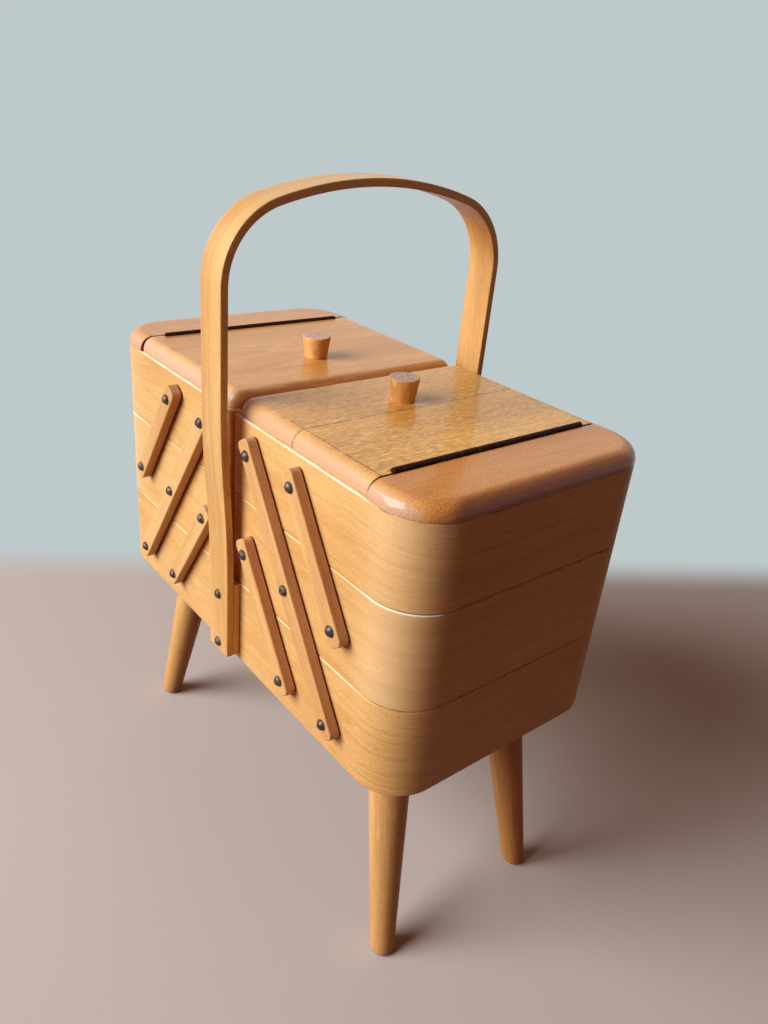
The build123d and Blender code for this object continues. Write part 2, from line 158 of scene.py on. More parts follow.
ringPitch = {"along": 0.0025, "bands": 0.5}  # bands are counted across one band width
wearBand = {  # where on the wear and end grain layers each look starts and is complete
    "rubbed": (0.04, 0.3), "paintedShade": (0.05, 0.22), "bare": (0.5, 0.8), "grimeAndShade": (0.35, 0.85),
    "endGrain": (0.55, 0.92),
}
step = {  # where a pattern's smooth step starts and ends
    "deep": (0.36, 0.66), "late": (0.55, 0.97), "early": (0.0, 0.2), "spot": (0.012, 0.03),
    "pore": (0.5, 0.64), "poreDepth": (0.45, 0.6), "crack": (0.36, 0.5), "tarnish": (0.4, 0.62),
    "mark": (0.015, 0.04), "markGrit": (0.58, 0.62),
}
fleckSoft = 0.07
relief = {"hair": 0.5, "line": 0.3, "grit": 0.3, "fleck": 0.8, "pore": 0.8}
shadePower = {"green": 1.15, "blue": 1.4}
ragged = {"bare": 1.2, "grimeAndShade": 0.8}  # how far the chip pattern moves the edge of a worn patch
cover = {"end": 0.85, "grimeAndShade": 0.95}
dulled = {"hair": 0.12, "bare": 0.2, "grimeAndShade": 0.45}  # added to the roughness
boardJoint = {"blur": 0.1, "shift": (61, 23, 7), "crackFrom": 0.25, "crackTo": 0.75, "crackShare": 0.85}
wanderWidth = {"across": 22, "through": 14}


def grainOf(start, alongY):
    # Millimetres along and across the fibre: a layer of the mesh, or on a piece kept from the
    # frame its own coordinates with the first one turned to run along y
    if not alongY:
        return start.make("ShaderNodeAttribute", {"attribute_name": "grainPos"}, output="Vector")
    place = start.make("ShaderNodeTexCoord", output="Object")
    return start.make("ShaderNodeMapping", None, {
        "Vector": place, "Rotation": (0, 0, math.pi / 2), "Scale": (perMetre, perMetre, perMetre),
    })


def figure(look, tint, grain, fibre):
    # Growth lines, mottle, pores and fine streaks: gives the colour, and the height for the bump
    ringAcross = ringPitch["bands"] / look["bandWidth"]
    rings = cloud(stretched(fibre, ringPitch["along"], ringAcross), 2.0, 0.45)
    lines = cloud(stretched(fibre, *grainPitch["line"]), 2.0, 0.6) - 0.5
    hairs = cloud(stretched(fibre, *grainPitch["hair"]), 2.0, 0.6) - 0.5
    grit = cloud(stretched(grain, *grainPitch["grit"]), 2.0, 0.7) - 0.5
    flecks = cloud(stretched(grain, 1 / look["fleckLength"], 1 / look["fleckWidth"]), 1.0, 0.4)
    broad = cloud(stretched(grain, *grainPitch["broad"]), 2.0, 0.5) - 0.5
    ring = rings.join("FRACT", rings * look["ringCount"])
    dash = ease(flecks, look["fleckCut"], look["fleckCut"] + fleckSoft)
    colour = blended(ease(rings, *step["deep"]), tint["pale"], tint["deep"])
    colour = blended(ease(ring, *step["late"]) * look["ringShare"], colour, tint["late"])
    colour = blended((1 - ease(ring, *step["early"])) * look["ringShare"], colour, tint["early"])
    colour = blended(dash * look["fleckShare"], colour, tint["fleck"])
    if look["glintShare"]:
        # The other end of the same pattern, so pale glints never lie on dark flecks
        glint = 1 - ease(flecks, 1 - fleckSoft - look["fleckCut"], 1 - look["fleckCut"])
        colour = blended(glint * look["glintShare"], colour, tint["early"])
    if look["speckShare"]:
        cells = stretched(grain, *grainPitch["spot"])
        spots = grain.make("ShaderNodeTexVoronoi", None, {"Vector": cells, "Scale": 1.0})
        spot = 1 - ease(spots, *step["spot"])
        colour = blended(spot * look["speckShare"], colour, tint["grimeAndShade"])
    shade = 1 + broad * look["mottle"] + hairs * look["hair"] + lines * look["line"] + grit * look["grit"]
    # Darker streaks are warmer too: green falls a little faster than red, and blue faster still
    green, blue = shade ** shadePower["green"], shade ** shadePower["blue"]
    light = grain.make("ShaderNodeCombineXYZ", None, {0: shade, 1: green, 2: blue})
    colour = grain.make("ShaderNodeVectorMath", {"operation": "MULTIPLY"}, {0: colour, 1: light})
    height = hairs * relief["hair"] + lines * relief["line"] + grit * relief["grit"]
    height = height - dash * relief["fleck"]
    return colour, height, hairs


def worn(look, tint, grain, colour, height):
    # End grain, rubbed edges, grime and painted shade, by the mesh's own layers. Wear below 0 is
    # darkened, first by a painted shade tint, then by grime that also paints shade; above 0 it is
    # rubbed, on some pieces also a painted sheen, and from about a half the varnish is gone.
    wear = grain.make("ShaderNodeAttribute", {"attribute_name": "wear"}, output="Fac")
    ends = grain.make("ShaderNodeAttribute", {"attribute_name": "endGrain"}, output="Fac")
    ended = ease(ends, *wearBand["endGrain"])
    pores = cloud(stretched(grain, *grainPitch["pore"]), 2.0, 0.7)
    chips = cloud(stretched(grain, *grainPitch["chip"]), 3.0, 0.7) - 0.5
    bare = ease(wear + chips * ragged["bare"], *wearBand["bare"])
    dark = ease(chips * ragged["grimeAndShade"] - wear, *wearBand["grimeAndShade"])
    if look["rubbedAndSheenShare"]:
        # Rubbed tint: rubbed wear, and on the tray bends and the front rounds of lids and rails also a
        # painted sheen
        rubbed = ease(wear, *wearBand["rubbed"]) * look["rubbedAndSheenShare"]
        colour = blended(rubbed, colour, tint["rubbed"])
    # Painted shade: a tint multiplied in where wear is below 0, on the bar sides and the rail's round over
    # the end
    if look["paintedShadeShare"]:
        paintedShade = ease(0 - wear, *wearBand["paintedShade"]) * look["paintedShadeShare"]
        colour = blended(paintedShade, colour, tint["paintedShade"], "MULTIPLY")
    colour = blended(ended * cover["end"], colour, tint["end"])
    colour = blended(ended * ease(pores, *step["pore"]) * look["endPores"], colour, tint["fleck"])
    colour = blended(bare, colour, tint["bare"])
    # Grime, which on bar feet against the wall and on shaded ends and sides is painted shade
    colour = blended(dark * cover["grimeAndShade"], colour, tint["grimeAndShade"])
    return colour, height - ended * ease(pores, *step["poreDepth"]) * relief["pore"], bare, dark


def woodMaterial(name, look, alongY=False, joint=None):
    # joint is the place of a glued board joint across the piece, in millimetres
    look = {**plainWood, **look}
    tint = {key: display(*look[key]) for key in tintNames}
    material, start = newMaterial(name)
    grain = grainOf(start, alongY)
    place = start.make("ShaderNodeTexCoord", output="Object")
    if joint is not None:
        across = start.make("ShaderNodeSeparateXYZ", None, {0: place}) * perMetre
        board = ease(across, joint - boardJoint["blur"], joint + boardJoint["blur"])
        grain = shifted(grain, start.make("ShaderNodeCombineXYZ", None, {
            axis: board * amount for axis, amount in enumerate(boardJoint["shift"])
        }))
    drift = cloud(stretched(grain, *grainPitch["drift"]), 1.0) - 0.5
    wander = start.make("ShaderNodeCombineXYZ", None, {
        1: drift * wanderWidth["across"], 2: drift * wanderWidth["through"],
    })
    colour, height, hairs = figure(look, tint, grain, shifted(grain, wander))
    gloss, coat = look["roughness"] + hairs * dulled["hair"], look["coat"]
    if not alongY:
        colour, height, bare, dark = worn(look, tint, grain, colour, height)
        gloss = gloss + bare * dulled["bare"] + dark * dulled["grimeAndShade"]
        coat = (1 - dark) * look["coat"]
    if joint is not None:
        broken = cloud(stretched(grain, *grainPitch["crack"]), 2.0, 0.6)
        nearby = across.join("ABSOLUTE", across - joint)
        closed = ease(nearby, boardJoint["crackFrom"], boardJoint["crackTo"])
        crack = (1 - closed) * ease(broken, *step["crack"])
        colour = blended(crack * boardJoint["crackShare"], colour, tint["grimeAndShade"])
        height = height - crack
    if look["peel"]:
        height = height + (cloud(stretched(grain, *grainPitch["peel"]), 1.0, 0.5) - 0.5) * look["peel"]
    bumped = start.make("ShaderNodeBump", None, {
        "Strength": look["bump"], "Distance": look["bumpHeight"], "Height": height,
    })
    surface(start, {
        "Base Color": colour, "Roughness": gloss, "Normal": bumped, "Coat Weight": coat,
        "Coat Roughness": look["coatRoughness"], "Coat IOR": 1.5, "Specular IOR Level": look["specular"],
    })
    return material


def follow(start, heading, runs):
    # Line through straight and bent runs, each (length, turn, steps). The heading changes evenly
    # along a run, so a step is the chord length * sin(half turn) / (half turn) in the mean heading.
    steps = [run[2] for run in runs]
    lengths = np.repeat([run[0] / run[2] for run in runs], steps)
    turns = np.repeat([run[1] / run[2] for run in runs], steps)
    headings = heading + np.concatenate([[0], np.cumsum(turns)])
    middle = headings[:-1] + turns / 2
    chords = lengths * np.sinc(turns / (2 * np.pi))
    moves = np.stack([chords * np.cos(middle), chords * np.sin(middle)], axis=1)
    places = np.array(start) + np.concatenate([np.zeros((1, 2)), np.cumsum(moves, axis=0)])
    return places, headings, np.concatenate([[0], np.cumsum(lengths)])


def quarter(steps):
    # Even angles over a quarter turn
    return np.linspace(0, np.pi / 2, steps + 1)


def fullTurn(points):
    # Cosines and sines of even angles round a full turn, without the last, which is the first
    turn = np.linspace(0, 2 * np.pi, points, endpoint=False)
    return np.cos(turn), np.sin(turn)


def stacked(plans, levels):
    # One ring for each plan outline, at its level
    return np.array([np.c_[plan, np.full(len(plan), level)] for plan, level in zip(plans, levels)])


sharpestCorner = 0.05  # a corner radius never shrinks below this, so its points stay apart


def roundedOutline(width, height, radius, steps, margin):
    # Rectangle with quarter-circle corners: centre + radius * (cos, sin), and one more point on
    # each straight side a margin away from the corner. Also tells which points are on a corner.
    # The margins stay apart on a short side, so the outline never crosses.
    radius = max(radius, sharpestCorner)
    margin = min(margin, 0.4 * (min(width, height) - 2 * radius))
    angle = quarter(steps)
    corner = np.stack([radius * np.cos(angle), radius * np.sin(angle)], axis=1)
    corner = np.concatenate([[[radius, -margin]], corner, [[-margin, radius]]])
    onCorner = np.r_[0.0, np.ones(steps + 1), 0.0]
    points = []
    for turn, signs in enumerate(((1, 1), (-1, 1), (-1, -1), (1, -1))):
        c, s = round(math.cos(turn * math.pi / 2)), round(math.sin(turn * math.pi / 2))
        centre = np.array([width / 2 - radius, height / 2 - radius]) * signs
        points.append(centre + corner @ np.array([[c, s], [-s, c]]))
    return np.concatenate(points), np.tile(onCorner, 4)


sharpFrom = 35  # degrees between two faces that are shaded as an edge


def placed(name, rings, grain, fibre, wear, material, rides, nodes):
    # Four neighbouring points make a face; the first and last rings are closed by one face each.
    # Ring points are millimetres. The faces are turned outward when the enclosed volume
    # (sum of first . (second x third) over the triangles) comes out negative.
    count, around = rings.shape[:2]
    points = rings.reshape(-1, 3)
    index = np.arange(count * around).reshape(count, around)
    turned = np.roll(index, -1, axis=1)
    quads = np.stack([index[:-1], turned[:-1], turned[1:], index[1:]], axis=2).reshape(-1, 4)
    first, last = index[0, ::-1], index[-1]
    fans = [np.stack([np.full(around - 2, cap[0]), cap[1:-1], cap[2:]], axis=1) for cap in (first, last)]
    triangles = np.concatenate([quads[:, :3], quads[:, [0, 2, 3]], *fans])
    a, b, c = (points[triangles[:, corner]] for corner in range(3))
    flip = -1 if np.einsum("ij,ij->i", a, np.cross(b, c)).sum() < 0 else 1
    outside = [face[::flip] for face in quads.tolist() + [first.tolist(), last.tolist()]]
    mesh = bpy.data.meshes.new(name)
    mesh.from_pydata((points * metre).tolist(), [], outside)
    mesh.shade_smooth()
    mesh.set_sharp_from_angle(angle=math.radians(sharpFrom))
    normals = np.empty(len(points) * 3, dtype=np.float32)
    mesh.vertex_normals.foreach_get("vector", normals)
    shape = (count, around, 3)
    offset = draws.uniform(0, 900, 3) * (1, 0.5, 0.5)
    ends = np.abs(np.sum(normals.reshape(shape) * np.broadcast_to(fibre, shape), axis=2))
    layers = {
        "grainPos": np.broadcast_to(grain, shape) + offset,
        "wear": np.broadcast_to(wear, shape[:2]), "endGrain": ends,
    }
    for key, values in layers.items():
        kind, field = ("FLOAT_VECTOR", "vector") if values.ndim == 3 else ("FLOAT", "value")
        layer = mesh.attributes.new(key, kind, "POINT")
        layer.data.foreach_set(field, np.ascontiguousarray(values, dtype=np.float32).ravel())
    piece = bpy.data.objects.new(name, mesh)
    bpy.context.scene.collection.objects.link(piece)
    mesh.materials.append(material)
    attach(piece, rides)
    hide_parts(*nodes)


def levelsOf(node):
    # Lowest and highest corner of a piece of the frame, in millimetres
    low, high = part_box(node)
    return np.array(low) * perMetre, np.array(high) * perMetre


trayWall = {
    "halfLength": 210, "halfWidth": 111, "endRadius": 37, "bendSteps": 28,
    "straightSteps": 8, "boardSteps": 12, "centreGap": 0.5,
    "thickness": 8, "edgeRound": 0.8, "rebate": 4, "floorHeight": 4, "grooveRise": 20,
    "innerRound": 4, "innerEase": 0.4, "deepestInset": 3.9, "leastSpread": 0.05,
    "faceMargin": 0.3, "footMargin": 1.5, "rimDepth": {"top": 0.7, "middle": 0, "bottom": 0},
    "rimBare": 0.6, "rimFade": 1.4, "innerFade": 4, "innerWear": 0.4,
    "rimWear": 1.0, "seamGrime": -0.6, "endGrime": -0.45, "railStart": 158, "cornerFade": 20,
    "bareSide": {"top": 0.66, "middle": 0.22, "bottom": 0.4},
    "bareCorner": {"top": 1.0, "middle": 0.95, "bottom": 0.1},
    "bareBend": {"middle": 0.85, "bottom": 0.1},
    "paintedSheenBend": {"top": 0.13, "middle": 0.15, "bottom": 0.03}, "paintedSheenFrom": 190, "paintedSheenWidth": 45,
    "boardWear": 0.6,
}
# The walls' rubbed tint is rubbed wear on the rims and a painted sheen about the bends
wallWood = woodMaterial("trayBeech", {"speckShare": 0.8, "rubbed": (252, 213, 160), "rubbedAndSheenShare": 1.0})
innerWood = woodMaterial("trayBoardBeech", {"bandWidth": 20})


def wallSection(low, high, groove=None, rimDepth=0.0):
    # Closed outline of (depth, level, wear): outer face with quarter-round edges, top rim,
    # inner face, and below it a rebate, or a groove, for the floor
    size = trayWall
    r, t, e, rebate = size["edgeRound"], size["thickness"], size["innerEase"], size["rebate"]
    bare, floor, margin = size["innerWear"], size["floorHeight"], size["faceMargin"]
    drop, rise = r - r * np.sin(quarter(4)), r - r * np.cos(quarter(4))
    foot = np.stack([drop, low + rise, 0 * drop + size["seamGrime"]], axis=1)
    edge = np.stack([rise, high - drop, 0 * drop + size["rimWear"]], axis=1)
    rimWear = size["rimWear"] if rimDepth else 0
    rim = [
        (r + max(rimDepth, size["rimBare"]), high, rimWear), (r + rimDepth + size["rimFade"], high, 0),
        (t - e, high, bare),
    ]
    inside = [(t, high - e, bare), (t, high - size["innerFade"], 0)]
    ledge = low if groove is None else groove
    inside += [(t, ledge + floor, 0), (rebate, ledge + floor, 0), (rebate, ledge, 0)]
    if groove is not None:
        inside += [(t, groove, 0), (t, low, 0)]
    face = [(0, low + r + margin, 0), (0, (low + high) / 2, 0), (0, high - r - margin, 0)]
    return np.array([*foot, *face, *edge, *rim, *inside, (r + size["footMargin"], low, 0)])


def sweep(path, headings, distance, section, startInset=None):
    # Ring point = path point - outward direction * depth, at the section's level. Outward is the
    # heading turned a quarter to the right. An inset rounds the ends off; a small share of the
    # depth is added to it, so that the points stay apart there.
    outward = np.stack([np.sin(headings), -np.cos(headings)], axis=1)
    depth = np.broadcast_to(section[:, 0], (len(path), len(section)))
    if startInset is not None:
        depth = np.maximum(depth, startInset[:, None] + trayWall["leastSpread"] * depth)
    plan = path[:, None, :] - outward[:, None, :] * depth[..., None]
    level = np.broadcast_to(section[:, 1], depth.shape)
    rings = np.concatenate([plan, level[..., None]], axis=2)
    grain = np.stack([np.broadcast_to(distance[:, None], depth.shape), level, depth], axis=2)
    fibre = np.stack([np.cos(headings), np.sin(headings), headings * 0], axis=1)[:, None, :]
    return rings, grain, fibre


def makeWalls():
    # Each half runs along the front, round the end and back, and its mirror image is the other half
    size = trayWall
    straight, startGap = size["straightSteps"], size["centreGap"]
    straightY = 2 * (size["halfWidth"] - size["endRadius"])
    bendLength = size["endRadius"] * math.pi / 2
    cornerX = size["halfLength"] - size["endRadius"]
    for tray, rides, startX, groove in (
        ("bottom", "base", 0.0, True), ("middle", "middle_tray_{}", startGap, False),
        ("top", "top_tray_{}", startGap, False),
    ):
        for side, sign in sides.items():
            node = f"{tray}_tray_wall_{side}"
            low, high = levelsOf(node)[0][2], levelsOf(node)[1][2]
            endRun = size["innerRound"]
            run = cornerX - startX - endRun
            bend = (bendLength, math.pi / 2, size["bendSteps"])
            runs = [
                (endRun, 0, straight), (run, 0, straight), bend, (straightY, 0, straight),
                bend, (run, 0, straight), (endRun, 0, straight),
            ]
            path, headings, distance = follow((startX, -size["halfWidth"]), 0, runs)
            fromEnd = np.minimum(distance, distance[-1] - distance)
            gap = np.clip(endRun - fromEnd, 0, endRun)
            rounding = np.minimum(endRun - np.sqrt(endRun**2 - gap**2), size["deepestInset"])
            inset = None if groove else rounding
            grooveLevel = low + size["grooveRise"] if groove else None
            section = wallSection(low, high, grooveLevel, size["rimDepth"][tray])
            rings, grain, fibre = sweep(path, headings, distance, section, inset)
            mirror = np.array([sign, 1, 1])
            # Rims are rubbed bare along the sides, in patches on the lower trays, and hold grime round the
            # end.
            # The outer face gets a painted sheen about the bend, a bell curve there.
            if tray == "top":
                reach = size["railStart"]
            else:
                reach = cornerX + bendLength * size["bareBend"][tray]
            fade = size["cornerFade"]
            nearBend = np.clip((fromEnd - (cornerX - startX) + fade) / fade, 0, 1)
            rubbed = size["bareSide"][tray] + (size["bareCorner"][tray] - size["bareSide"][tray]) * nearBend
            rubbed = np.where(fromEnd > reach - startX, size["endGrime"], rubbed)
            # Painted sheen: a little wear in a bell curve about the bend lightens the outer face with the
            # rubbed tint
            fromPaintedSheen = (fromEnd - size["paintedSheenFrom"]) / size["paintedSheenWidth"]
            pale = size["paintedSheenBend"][tray] * np.exp(-(fromPaintedSheen ** 2))
            isRim = section[:, 2] > 0.5
            wear = np.where(isRim, rubbed[:, None], section[:, 2])
            wear = np.where(section[:, 2] == 0, pale[:, None], wear)
            placed(
                f"{tray}TrayWall{side.title()}", rings * mirror, grain, fibre * mirror, wear,
                wallWood, rides.format(side), [node],
            )
            if groove:
                continue
            boardLength = 2 * (size["halfWidth"] - size["thickness"])
            boardRuns = [(boardLength, 0, size["boardSteps"])]
            line, heading, along = follow((startX, boardLength / 2), -math.pi / 2, boardRuns)
            section = wallSection(low, high)
            rings, grain, fibre = sweep(line, heading, along, section)
            placed(
                f"{tray}TrayInnerBoard{side.title()}", rings * mirror, grain, fibre * mirror,
                section[:, 2] * size["boardWear"], innerWood, rides.format(side),
                [f"{tray}_tray_inner_board_{side}"],
            )


makeWalls()
print("tray walls made")


top = {
    "halfWidth": 111, "hingeGap": 0.3, "centreGap": 0.5, "railFace": 158, "railEnd": 210,
    "lidInset": 2, "lidRadius": 12, "lidRound": 10, "railRadius": 37, "railRound": 11,
    "notchHalf": 89.4, "notchX": 153.2, "roundSteps": 12, "lidSteps": 10, "railSteps": 20,
    "jointEase": 1.1, "jointDepth": 0.8, "endMargin": 1.5, "footInsets": (3.0, 0.4),
    "topInsets": (0.5, 1.0, 2.5), "footWear": (-0.6, -0.2), "jointGrime": -1.2, "endPaintedShade": 0.35,
    # Front wear on lids and rails is rubbed wear and also a painted sheen on the front round
    "lidFrontRubAndSheen": 0.35, "railFrontRubAndSheen": 0.3,
}
lidWood = {}
lidWood["right"] = woodMaterial("lidOak", {
    "pale": (246, 174, 66), "deep": (226, 153, 50), "late": (184, 120, 42), "early": (255, 226, 150),
    "fleck": (132, 72, 22), "end": (216, 168, 124), "bandWidth": 18, "ringCount": 9, "ringShare": 0.2,
    "mottle": 0.25, "hair": 0.9, "line": 0.6, "grit": 0.7, "fleckLength": 6.0, "fleckWidth": 0.5,
    "fleckCut": 0.57, "fleckShare": 0.45, "glintShare": 0.65, "bump": 0.3, "peel": 0.7, "endPores": 0.08,
    "coat": 0.42, "coatRoughness": 0.14, "roughness": 0.4, "rubbed": (228, 176, 124), "rubbedAndSheenShare": 0.65,
}, joint=75)
lidWood["left"] = woodMaterial("lidBeech", {
    "pale": (232, 160, 74), "deep": (218, 144, 62), "late": (187, 118, 47), "end": (216, 172, 138),
    "bandWidth": 22, "hair": 0.75, "line": 0.5, "grit": 0.5, "fleckLength": 3.4, "fleckWidth": 0.4,
    "fleckShare": 0.4, "glintShare": 0.3, "bump": 0.25, "peel": 0.5, "endPores": 0.1,
    "coat": 0.42, "coatRoughness": 0.14, "roughness": 0.4, "rubbedAndSheenShare": 0.6,
})
# The rail's paintedShade tint darkens its round over the end, its foot and its joint: painted shade
railWood = woodMaterial("railBeech", {
    "pale": (226, 144, 54), "deep": (214, 131, 45), "late": (186, 110, 38), "early": (232, 168, 88),
    "end": (216, 168, 130), "bandWidth": 20, "ringShare": 0.15, "fleckLength": 1.8, "fleckWidth": 0.5,
    "fleckShare": 0.5, "fleckCut": 0.58, "glintShare": 0.35, "hair": 0.55, "line": 0.4,
    "bump": 0.45, "peel": 1.6,
    "coat": 0.55, "coatRoughness": 0.14, "roughness": 0.4, "rubbedAndSheenShare": 0.5, "endPores": 0.12,
    "paintedShade": (205, 175, 120), "paintedShadeShare": 1.0,
})


def openOutline(fixedX, freeX, halfY, radius, steps, inset, jointInset, notch=None):
    # Plan with a straight joint side at fixedX and two round corners at freeX, all but the joint
    # side drawn in by inset: corner centre + (radius - inset) * (cos, sin). A notch for the hinge
    # is cut into the joint side.
    sign = math.copysign(1, freeX - fixedX)
    angle = quarter(steps)
    reach = max(radius - inset, sharpestCorner)
    centre = inset + reach
    x = freeX - sign * centre + sign * reach * np.r_[np.sin(angle), np.cos(angle)]
    y = np.r_[-(halfY - centre) - reach * np.cos(angle), halfY - centre + reach * np.sin(angle)]
    side, edge = fixedX + sign * jointInset, halfY - inset
    half, full = (side + sign * share * top["jointEase"] for share in (0.5, 1))
    near = top["endMargin"]
    points = [
        (side, near - edge), (side, -edge), (half, -edge), (full, -edge), *np.stack([x, y], axis=1),
        (full, edge), (half, edge), (side, edge), (side, edge - near),
    ]
    if notch is not None:
        notchX, notchHalf = notch[0] + sign * jointInset, notch[1] + jointInset
        points += [(side, notchHalf), (notchX, notchHalf), (notchX, -notchHalf), (side, -notchHalf)]
    return np.array(points)


def roundedSlab(outline, low, high, radius, cornerRadius, frontRubAndSheen):
    # Rings upward: eased foot, straight side, quarter-round with inset radius * (1 - cos) and
    # level radius * sin, then over the flat top. The joint side is pushed in along the
    # quarter-round's normal, which leaves a fine dark groove.
    angle = quarter(top["roundSteps"])
    count = len(angle)
    spread, depth = top["jointEase"], top["jointDepth"]
    under, eased = top["footInsets"]
    flatTop = [radius + further for further in top["topInsets"]]
    insets = np.r_[under, eased, 0.0, radius * (1 - np.cos(angle)), flatTop]
    levels = np.r_[low, low, low + eased, high - radius + radius * np.sin(angle), high, high, high]
    joints = np.r_[1.0, np.zeros(count + 2), spread / 2, spread, 2 * spread]
    rings = stacked([outline(inset, joint) for inset, joint in zip(insets, joints)], levels)
    near = np.clip(1 - np.abs(rings[0, :, 0] - rings[0, 0, 0]) / spread, 0, 1)
    lean = np.r_[0, 0, 0, angle, np.pi / 2, 0, 0]
    push = np.r_[np.full(count + 3, depth), depth / 2, 0, 0]
    ends = np.sign(rings[0, :, 1]) * near
    rings[..., 1] -= (push * np.cos(lean))[:, None] * ends
    rings[..., 2] -= (push * np.sin(lean))[:, None] * near
    # The round is rubbed along the front and back, which also paints a sheen there, and darkened
    # at the end as painted shade; the foot is darker, and the groove dark but for the parts of the
    # joint side that face the hinge
    fromSide = np.abs(rings[2, :, 1]).max() - np.abs(rings[2, :, 1])
    beside = np.clip(1 - fromSide / cornerRadius, 0, 1)
    wear = np.r_[0, 0, 0, frontRubAndSheen * np.sqrt(np.cos(angle)), 0, 0, 0][:, None] * beside
    # Painted shade: the round over the end is darkened
    wear[2:count + 3] -= top["endPaintedShade"] * np.r_[1, np.cos(angle)][:, None] * (1 - beside)
    wear[1:3] = np.array(top["footWear"])[:, None]
    inGroove = near > 0.4
    wear[:count + 4, inGroove] = top["jointGrime"]
    wear[:count + 1, inGroove & (fromSide > 1)] = 0
    wear[0] = 0
    return rings, wear


def makeTops():
    size = top
    for side, sign in sides.items():
        mirror = np.array([sign, 1, 1])
        low, high = (corner[2] for corner in levelsOf(f"lid_panel_{side}"))
        rings, wear = roundedSlab(
            lambda inset, jointInset: openOutline(
                size["railFace"] - size["hingeGap"], size["centreGap"],
                size["halfWidth"] - size["lidInset"], size["lidRadius"], size["lidSteps"],
                inset, jointInset, (size["notchX"], size["notchHalf"]),
            ), low, high, size["lidRound"], size["lidRadius"], size["lidFrontRubAndSheen"],
        )
        placed(
            f"lidPanel{side.title()}", rings * mirror, rings[..., [1, 0, 2]], np.array([0, 1.0, 0]), wear,
            lidWood[side], f"lid_{side}", [f"lid_panel_{side}"],
        )
        low = levelsOf(f"end_rail_{side}")[0][2]
        rings, wear = roundedSlab(
            lambda inset, jointInset: openOutline(
                size["railFace"], size["railEnd"], size["halfWidth"], size["railRadius"],
                size["railSteps"], inset, jointInset,
            ), low, high, size["railRound"], size["railRadius"], size["railFrontRubAndSheen"],
        )
        placed(
            f"endRail{side.title()}", rings * mirror, rings[..., [1, 0, 2]], np.array([0, 1.0, 0]), wear,
            railWood, f"top_tray_{side}", [f"end_rail_{side}"],
        )


makeTops()
print("lids and rails made")


knobShape = {
    "fromCentre": 57.5, "base": 9.5, "top": 11.75, "round": 1.2, "roundSteps": 6, "points": 56,
    "footEase": 0.3, "shoulder": 4, "topMargin": 1.5, "footWear": (-0.4, -0.2), "roundWear": 0.3,
    "topWear": 0.1,
}
knobWood = woodMaterial("knobBeech", {
    "pale": (238, 176, 98), "deep": (216, 148, 76), "late": (176, 108, 50), "end": (222, 184, 162),
    "bandWidth": 6, "ringShare": 0.4, "fleckShare": 0.3, "endPores": 0.85, "bump": 0.15, "coat": 0.3,
})


def makeKnobs():
    # Radius grows evenly with height, then turns over a quarter-round into the flat top
    size = knobShape
    angle = quarter(size["roundSteps"])
    circle = np.stack(fullTurn(size["points"]), axis=1)
    base, head, r, ease = size["base"], size["top"], size["round"], size["footEase"]
    rubbed = size["roundWear"] * np.ones(len(angle))
    wear = np.r_[size["footWear"], 0, rubbed, size["topWear"]][:, None]
    for side, sign in sides.items():
        low, high = (corner[2] for corner in levelsOf(f"knob_{side}"))
        shoulder = high - size["shoulder"]
        shoulderRadius = base + (head - base) * (shoulder - low) / (high - low)
        over, inner = head - r + r * np.cos(angle), head - r - size["topMargin"]
        radii = np.r_[base - ease, base, shoulderRadius, over, inner]
        levels = np.r_[low, low + ease, shoulder, high - r + r * np.sin(angle), high]
        rings = stacked(radii[:, None, None] * circle, levels)
        centre = np.array([size["fromCentre"] * sign, 0, 0])
        placed(
            f"knob{side.title()}", rings + centre, rings[..., [2, 0, 1]], np.array([0, 0, 1.0]), wear,
            knobWood, f"lid_{side}", [f"knob_{side}"],
        )


makeKnobs()
print("knobs made")


linkBar = {
    "width": 14, "thickness": 9, "end": 12, "cornerRadius": 4.5, "edgeRound": 0.8, "sideGap": 0.3,
    "length": 98, "lean": 34, "spacing": 56.5, "topPivotX": 34.5, "bottomPivotZ": 222, "stages": 2,
}
# Painted shade: a dark foot line where a bar meets the wall, and darker sides
barFinish = {
    "edgeSteps": 4, "cornerSteps": 6, "cornerMargin": 3.0, "capMargin": 1.5, "footEase": 0.3,
    "footShadeTo": 0.9, "sideShadeFrom": 1.4, "sideMargin": 0.5, "grimeAndShade": (-1.2, -1.2, -1.1),
    "sidePaintedShade": (-0.28, -0.26), "edgeWear": 0.15,
}
# Its paintedShade tint darkens the bar sides: painted shade
linkWood = woodMaterial("linkBeech", {
    "pale": (230, 178, 112), "deep": (214, 156, 92), "bandWidth": 10, "fleckShare": 0.3, "ringShare": 0.12,
    "paintedShadeShare": 1.0,
})


def flatBar(width, height, radius, thickness, edge):
    # Rings from the back face to the outer face, outline drawn in by the edge's quarter-round,
    # with painted shade at the foot against the wall and on the sides, and a rubbed edge
    look = barFinish
    angle = quarter(look["edgeSteps"])
    margin, foot = look["capMargin"], look["footEase"]
    insets = np.r_[margin, foot, np.zeros(4), edge * (1 - np.cos(angle)), edge + margin]
    levels = np.r_[
        0.0, 0.0, foot, look["footShadeTo"], look["sideShadeFrom"], thickness - edge - look["sideMargin"],
        thickness - edge + edge * np.sin(angle), thickness,
    ]
    outlines = [
        roundedOutline(
            width - 2 * inset, height - 2 * inset, radius - inset, look["cornerSteps"], look["cornerMargin"],
        )[0] for inset in insets
    ]
    edgeWear = look["edgeWear"] + look["edgeWear"] * np.sin(angle * 2)
    wear = np.r_[0.0, look["grimeAndShade"], look["sidePaintedShade"], edgeWear, 0.0]
    return stacked(outlines, levels), wear[:, None]


